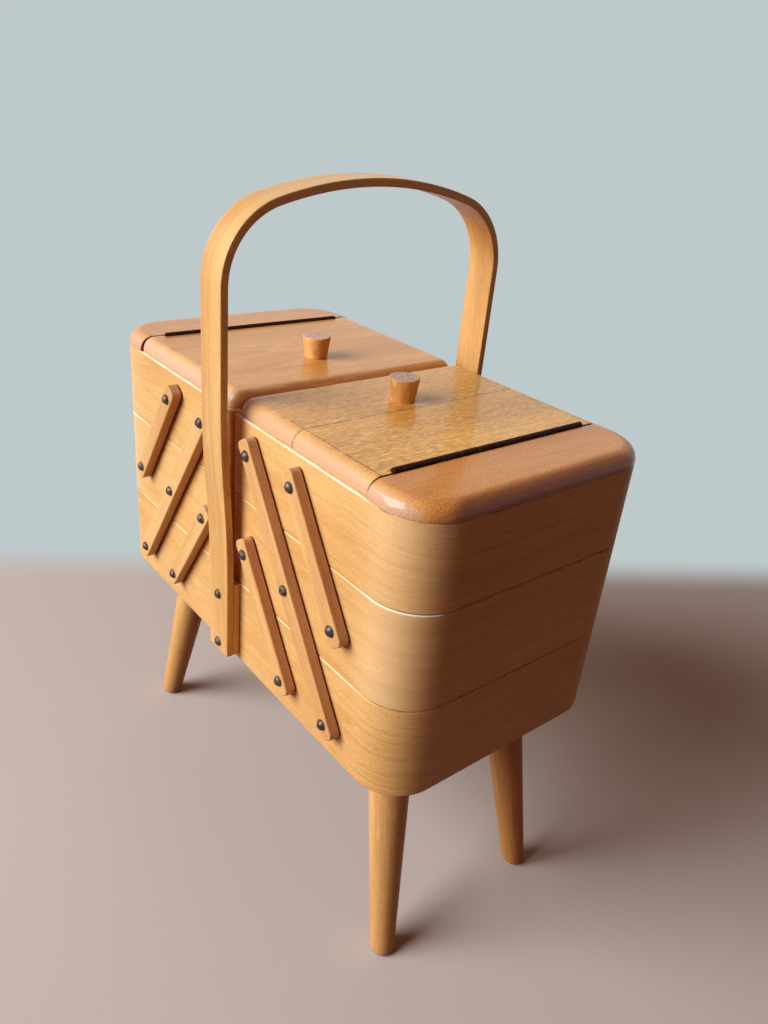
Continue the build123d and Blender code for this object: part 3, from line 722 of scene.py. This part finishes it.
def makeLinks():
    size = linkBar
    lean = math.radians(size["lean"])
    run, drop = size["length"] * math.sin(lean), size["length"] * math.cos(lean)
    wallFace = trayWall["halfWidth"] + size["sideGap"]

    def pivot(stage, spacings):
        # Each stage up moves a pivot inward by the run and up by the drop
        return np.array([
            size["topPivotX"] + (size["stages"] - stage) * run + spacings * size["spacing"],
            size["bottomPivotZ"] + stage * drop,
        ])

    bars = {
        "long": (pivot(0, 0), pivot(2, 0)), "lower": (pivot(0, -1), pivot(1, -1)),
        "upper": (pivot(1, 1), pivot(2, 1)),
    }
    for kind, (low, high) in bars.items():
        span = np.linalg.norm(high - low)
        along = (high - low) / span
        across = np.array([along[1], -along[0]])
        middle = (low + high) / 2
        bar, wear = flatBar(
            size["width"], span + 2 * size["end"], size["cornerRadius"], size["thickness"], size["edgeRound"],
        )
        x = middle[0] + bar[..., 0] * across[0] + bar[..., 1] * along[0]
        z = middle[1] + bar[..., 0] * across[1] + bar[..., 1] * along[1]
        for side, sign in sides.items():
            for face, out in faces.items():
                rings = np.stack([x * sign, out * (wallFace + bar[..., 2]), z], axis=2)
                placed(
                    f"{kind}Link{face.title()}{side.title()}", rings, bar[..., [1, 0, 2]],
                    np.array([along[0] * sign, 0, along[1]]), wear, linkWood,
                    f"{kind}_links_{side}", [f"{kind}_link_{face}_{side}"],
                )


makeLinks()
print("link bars made")


legShape = {
    "top": (152, 59, 190), "foot": (191.5, 78, 0), "topRadius": 18, "footRadius": 9.75,
    "footRound": 5, "roundSteps": 6, "levels": 20, "points": 56, "grimeHeight": 9, "footGrime": -0.55,
}
# Lighter and darker copies of one beech by how light falls on each leg: painted light and shade, the front
# left leg lit, the back right leg shaded
legPaintedLightTones = {
    "FrontRight": ((230, 176, 108), (214, 154, 88)), "BackRight": ((204, 138, 70), (184, 116, 54)),
    "FrontLeft": ((240, 186, 112), (224, 164, 92)), "BackLeft": ((230, 176, 108), (214, 154, 88)),
}


def makeLegs():
    # In a level plane the distance from the centre line to the skin, toward direction e, is
    # radius / (sqrt(1 - a^2) - taper * a), a being the part of e along the leg.
    # The foot's edge is a quarter-round: the skin is drawn in by r - sqrt(r^2 - below^2), below
    # being the way down from the top of the round.
    size = legShape
    foot, head = np.array(size["foot"], float), np.array(size["top"], float)
    length = np.linalg.norm(head - foot)
    up = (head - foot) / length
    taper = (size["topRadius"] - size["footRadius"]) / length
    r = size["footRound"]
    rise = r * (1 - np.cos(quarter(size["roundSteps"])))
    levels = np.r_[rise, np.linspace(r, head[2], size["levels"])[1:]]
    share = levels / head[2]
    toward = np.stack([*fullTurn(size["points"]), np.zeros(size["points"])], axis=1)
    a = toward @ up
    radius = size["footRadius"] + (size["topRadius"] - size["footRadius"]) * share
    reach = radius[:, None] / (np.sqrt(1 - a**2) - taper * a)[None, :]
    below = np.clip(r - levels, 0, r)
    reach = reach - (r - np.sqrt(r**2 - below**2))[:, None]
    centre = foot + (head - foot) * share[:, None]
    rings = centre[:, None, :] + reach[..., None] * toward
    rings[..., 2] = levels[:, None]
    offset = rings - centre[:, None, :]
    fromFoot = np.broadcast_to(share[:, None] * length, reach.shape)
    grain = np.stack([fromFoot, offset[..., 0], offset[..., 1]], axis=2)
    wear = (size["footGrime"] * (1 - np.clip(levels / size["grimeHeight"], 0, 1)))[:, None]
    for side, sign in sides.items():
        for face, out in faces.items():
            mirror = np.array([sign, out, 1])
            corner = face.title() + side.title()
            # Each leg gets its own copy of the beech, painted lighter or darker by how light falls on it
            pale, deep = legPaintedLightTones[corner]
            legWoodPaintedLight = woodMaterial(f"legBeechPaintedLight{corner}", {
                "pale": pale, "deep": deep, "bandWidth": 8, "fleckShare": 0.35,
            })
            placed(
                f"leg{corner}", rings * mirror, grain, up * mirror, wear, legWoodPaintedLight,
                "base", [f"leg_{face}_{side}"],
            )


makeLegs()
print("legs made")


hoop = {
    "width": 28.5, "thickness": 6, "edgeRound": 0.8, "edgeSteps": 5, "edgeMargin": 1.0, "spacer": 6,
    "footZ": 197, "bowLow": 265, "bowHeight": 150, "bow": 6, "bowSteps": 8, "straightSteps": 6,
    "crownZ": 566, "crownRadius": 300, "crownSteps": 14, "cornerRadius": 60, "cornerSteps": 30,
    "edgeWear": 0.35, "spacerCorner": 0.6, "spacerEdge": 0.2, "spacerWearAndShade": 0.5,
}
hoopWood = woodMaterial("handleBeech", {
    "pale": (228, 174, 100), "deep": (210, 150, 78), "bandWidth": 12, "coat": 0.35, "coatRoughness": 0.25,
    "fleckShare": 0.3, "specular": 0.4,
})


def makeHandle():
    # Straight past the block, two equal arcs outward, straight, a corner arc and the flat crown,
    # then the same again downward.
    size = hoop
    half = size["bowHeight"] / 2
    bowRadius = (half**2 + (size["bow"] / 2) ** 2) / size["bow"]
    lean = math.asin(half / bowRadius)
    outerY = trayWall["halfWidth"] + size["spacer"] + size["thickness"]
    cornerY = outerY + size["bow"] - size["cornerRadius"]
    crownCentre = size["crownZ"] - size["crownRadius"]
    cornerZ = crownCentre + math.sqrt((size["crownRadius"] - size["cornerRadius"]) ** 2 - cornerY**2)
    turn = math.atan2(cornerZ - crownCentre, cornerY)
    crownTurn = math.pi / 2 - turn
    bowTop = size["bowLow"] + size["bowHeight"]
    steps = size["bowSteps"]
    climb = [
        (size["bowLow"] - size["footZ"], 0, steps), (bowRadius * lean, lean, steps),
        (bowRadius * lean, -lean, steps), (cornerZ - bowTop, 0, size["straightSteps"]),
        (size["cornerRadius"] * turn, -turn, size["cornerSteps"]),
        (size["crownRadius"] * crownTurn, -crownTurn, size["crownSteps"]),
    ]
    runs = climb + climb[::-1]
    path, headings, distance = follow((-outerY, size["footZ"]), math.pi / 2, runs)
    section, onCorner = roundedOutline(
        size["thickness"], size["width"], size["edgeRound"], size["edgeSteps"], size["edgeMargin"],
    )
    depth, across = section[:, 0] + size["thickness"] / 2, section[:, 1]
    inward = np.stack([np.sin(headings), -np.cos(headings)], axis=1)
    line = path[:, None, :] + inward[:, None, :] * depth[None, :, None]
    sideways = np.broadcast_to(across[None, :, None], line.shape[:2] + (1,))
    rings = np.concatenate([sideways, line], axis=2)
    grain = np.stack([
        np.broadcast_to(distance[:, None], sideways.shape[:2]), sideways[..., 0],
        np.broadcast_to(depth[None, :], sideways.shape[:2]),
    ], axis=2)
    fibre = np.stack([headings * 0, np.cos(headings), np.sin(headings)], axis=1)[:, None, :]
    placed(
        "handleHoop", rings, grain, fibre, onCorner * size["edgeWear"], hoopWood, "base",
        ["handle_hoop"],
    )
    for face, out in faces.items():
        low, high = levelsOf(f"handle_spacer_{face}")
        bar, wear = flatBar(
            high[0] - low[0], high[2] - low[2], size["spacerCorner"], size["spacer"], size["spacerEdge"],
        )
        centre = (low + high) / 2
        rings = np.stack([
            bar[..., 0] + centre[0], out * (trayWall["halfWidth"] + bar[..., 2]), bar[..., 1] + centre[2],
        ], axis=2)
        # The spacer takes the bar's wear and painted shade, scaled down
        placed(
            f"handleSpacer{face.title()}", rings, bar[..., [1, 0, 2]], np.array([0, 0, 1.0]),
            wear * size["spacerWearAndShade"], hoopWood, "base", [f"handle_spacer_{face}"],
        )


makeHandle()
print("handle made")


# Finishes of the pieces kept from the frame

metalPitch = {"tarnish": 0.5, "grit": 2.2}  # patterns per millimetre
metalBump = {"strength": 0.25, "height": 0.0002}
glintSoft, tarnishDulls = 0.08, 0.3


def metalMaterial(name, look):
    # Tarnished metal with worn patches and fine bright specks in the glint colour, a painted glint
    material, start = newMaterial(name)
    place = start.make("ShaderNodeTexCoord", output="Object")
    spot = start.make("ShaderNodeMapping", None, {"Vector": place, "Scale": (perMetre, perMetre, perMetre)})
    tarnish = cloud(stretched(spot, metalPitch["tarnish"], metalPitch["tarnish"]), 3.0, 0.6)
    grit = cloud(stretched(spot, metalPitch["grit"], metalPitch["grit"]), 2.0, 0.6)
    dark, worn, glint = (display(*look[key]) for key in ("dark", "worn", "glint"))
    colour = blended(ease(tarnish, *step["tarnish"]), dark, worn)
    colour = blended(ease(grit, look["glintCut"], look["glintCut"] + glintSoft), colour, glint)
    if look["markPitch"]:
        # Small bright marks in the glint colour at even places along y, where the hinge's knuckles
        # meet: worn knuckle ends, partly a painted glint
        along = start.make("ShaderNodeSeparateXYZ", None, {0: spot}, output=1) * (1 / look["markPitch"])
        phase = along.join("ABSOLUTE", along.join("FRACT", along + 0.5) - 0.5)
        mark = (1 - ease(phase, *step["mark"])) * ease(grit, *step["markGrit"])
        colour = blended(mark, colour, glint)
    bumped = start.make("ShaderNodeBump", None, {
        "Strength": metalBump["strength"], "Distance": metalBump["height"], "Height": grit + tarnish,
    })
    surface(start, {
        "Base Color": colour, "Metallic": look["metallic"], "Normal": bumped,
        "Specular IOR Level": look["specular"],
        "Roughness": look["roughness"] + (tarnish - 0.5) * tarnishDulls,
    })
    return material


screwMetal = metalMaterial("screwBronze", {
    "dark": (52, 38, 32), "worn": (112, 90, 78), "glint": (196, 178, 160), "glintCut": 0.62,
    "metallic": 0.6, "roughness": 0.46, "specular": 0.5, "markPitch": 0,
})
hingeMetal = metalMaterial("hingeBrassDark", {
    "dark": (40, 17, 8), "worn": (66, 34, 16), "glint": (168, 130, 90), "glintCut": 0.7,
    "metallic": 0.1, "roughness": 0.62, "specular": 0.15, "markPitch": 16.2,
})
floorWood = woodMaterial("floorPly", {
    "pale": (226, 186, 134), "deep": (208, 164, 110), "bandWidth": 30, "coat": 0.1, "roughness": 0.55,
}, alongY=True)
battenWood = woodMaterial("battenBeech", {"coat": 0.1, "roughness": 0.6}, alongY=True)

kept = {  # by a word in the node's name; the first that fits counts, so hinge screws match the hinge
    "hinge": hingeMetal, "screw": screwMetal, "stud": screwMetal, "floor": floorWood,
    "batten": battenWood,
}
for name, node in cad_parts.items():
    for word, finish in kept.items():
        if word in name and node.type == "MESH":
            node.data.materials.clear()
            node.data.materials.append(finish)
            break
print("finishes given")


# Floor, light and camera

room = {
    "floorColour": (205, 191, 179), "bounce": (98, 49, 23), "worldBounce": (90, 51, 29),
    "far": (190, 201, 203), "unseenGlow": 0.1, "wallNormal": (-0.847, 0.531), "wallFrom": 0.39,
    "wallSoft": 0.05, "farFrom": 1.6, "farTo": 3.0, "size": 9,
}


def seenOnly(start):
    # 1 for the camera's own rays, reflections and glass, 0 for the light that reaches the object
    path = start.make("ShaderNodeLightPath", output="Is Camera Ray")
    glossy = start.make("ShaderNodeLightPath", output="Is Glossy Ray")
    through = start.make("ShaderNodeLightPath", output="Is Transmission Ray")
    return path.join("MAXIMUM", path, path.join("MAXIMUM", glossy, through))


def makeRoom():
    # A pale floor that turns into a plain backdrop past a soft line and far away. Only the camera
    # and reflections see these colours; the light sent back to the object is warm and dim.
    material, start = newMaterial("floorPale")
    seen = seenOnly(start)
    place = start.make("ShaderNodeTexCoord", output="Object")
    flat = start.make("ShaderNodeVectorMath", {"operation": "DOT_PRODUCT"}, {
        0: place, 1: (*room["wallNormal"], 0),
    }, output="Value")
    away = start.make("ShaderNodeVectorMath", {"operation": "LENGTH"}, {0: place}, output="Value")
    wall = ease(flat, room["wallFrom"] - room["wallSoft"], room["wallFrom"] + room["wallSoft"])
    far = wall.join("MAXIMUM", wall, ease(away, room["farFrom"], room["farTo"]))
    colour = blended(seen, display(*room["bounce"]), display(*room["floorColour"]))
    ground = start.make("ShaderNodeBsdfDiffuse", None, {"Color": colour})
    glow = start.make("ShaderNodeEmission", None, {
        "Color": blended(seen, display(*room["bounce"]), display(*room["far"])),
        "Strength": seen * (1 - room["unseenGlow"]) + room["unseenGlow"],
    })
    mixed = start.make("ShaderNodeMixShader", None, {0: far, 1: ground, 2: glow})
    start.make("ShaderNodeOutputMaterial", None, {"Surface": mixed})
    half = room["size"] / 2
    corners = [(-half, -half, 0), (half, -half, 0), (half, half, 0), (-half, half, 0)]
    mesh = bpy.data.meshes.new("floor")
    mesh.from_pydata(corners, [], [(0, 1, 2, 3)])
    floor = bpy.data.objects.new("floor", mesh)
    bpy.context.scene.collection.objects.link(floor)
    mesh.materials.append(material)
    world = bpy.data.worlds.new("room")
    bpy.context.scene.world = world
    world.use_nodes = True
    world.node_tree.nodes.clear()
    start = Wire(world.node_tree)
    seen = seenOnly(start)
    colour = blended(seen, display(*room["worldBounce"]), display(*room["far"]))
    back = start.make("ShaderNodeBackground", None, {"Color": colour, "Strength": 1.0})
    start.make("ShaderNodeOutputWorld", None, {"Surface": back})


makeRoom()

lamps = {
    "window": {
        "toward": (-0.273, -0.84, 0.47), "distance": 4.0, "size": 2.8, "power": 262,
        "colour": (0.95, 1.0, 1.08),
    },
    "paleWall": {
        "toward": (-0.75, 0.55, 0.3), "distance": 3.5, "size": 3.0, "power": 14,
        "colour": (1.0, 0.85, 0.68),
    },
}
aim = np.array([0, 0, 0.3])  # the lamps point at the middle of the object


def stand(holder, right, up, back, place):
    # Puts a lamp or the camera at a place, its axes given by three directions
    columns = np.stack([right, up, back, place], axis=1)
    holder.matrix_world = Matrix(np.vstack([columns, [0, 0, 0, 1]]).tolist())
    bpy.context.scene.collection.objects.link(holder)


def makeLamps():
    for name, lamp in lamps.items():
        data = bpy.data.lights.new(name, "AREA")
        data.shape, data.size = "SQUARE", lamp["size"]
        data.energy, data.color = lamp["power"], lamp["colour"]
        toward = np.array(lamp["toward"]) / np.linalg.norm(lamp["toward"])
        right = np.cross((0, 1, 0), toward)
        right = right / np.linalg.norm(right)
        holder = bpy.data.objects.new(name, data)
        stand(holder, right, np.cross(toward, right), toward, aim + toward * lamp["distance"])


makeLamps()

view = {
    "place": (0.49676, -0.39164, 0.62188), "yaw": 48.77, "pitch": 27.15, "roll": 5.88,
    "focalPixels": 822.49, "imageHeight": 1024, "sensor": 36, "nearest": 0.01,
}


def makeCamera():
    # Level right and level up turned by the roll; the camera looks along its own -Z
    yaw, pitch, roll = (math.radians(view[key]) for key in ("yaw", "pitch", "roll"))
    levelRight = np.array([math.cos(yaw), math.sin(yaw), 0])
    ahead = np.array([-math.sin(yaw) * math.cos(pitch), math.cos(yaw) * math.cos(pitch), -math.sin(pitch)])
    levelUp = np.cross(levelRight, ahead)
    right = math.cos(roll) * levelRight + math.sin(roll) * levelUp
    up = -math.sin(roll) * levelRight + math.cos(roll) * levelUp
    data = bpy.data.cameras.new("camera")
    data.sensor_width = view["sensor"]
    data.lens = view["focalPixels"] / view["imageHeight"] * data.sensor_width
    data.clip_start = view["nearest"]
    camera = bpy.data.objects.new("camera", data)
    stand(camera, right, up, -ahead, np.array(view["place"]))
    bpy.context.scene.camera = camera


makeCamera()
bpy.context.scene.view_settings.view_transform = "Standard"
print("room, lamps and camera made")
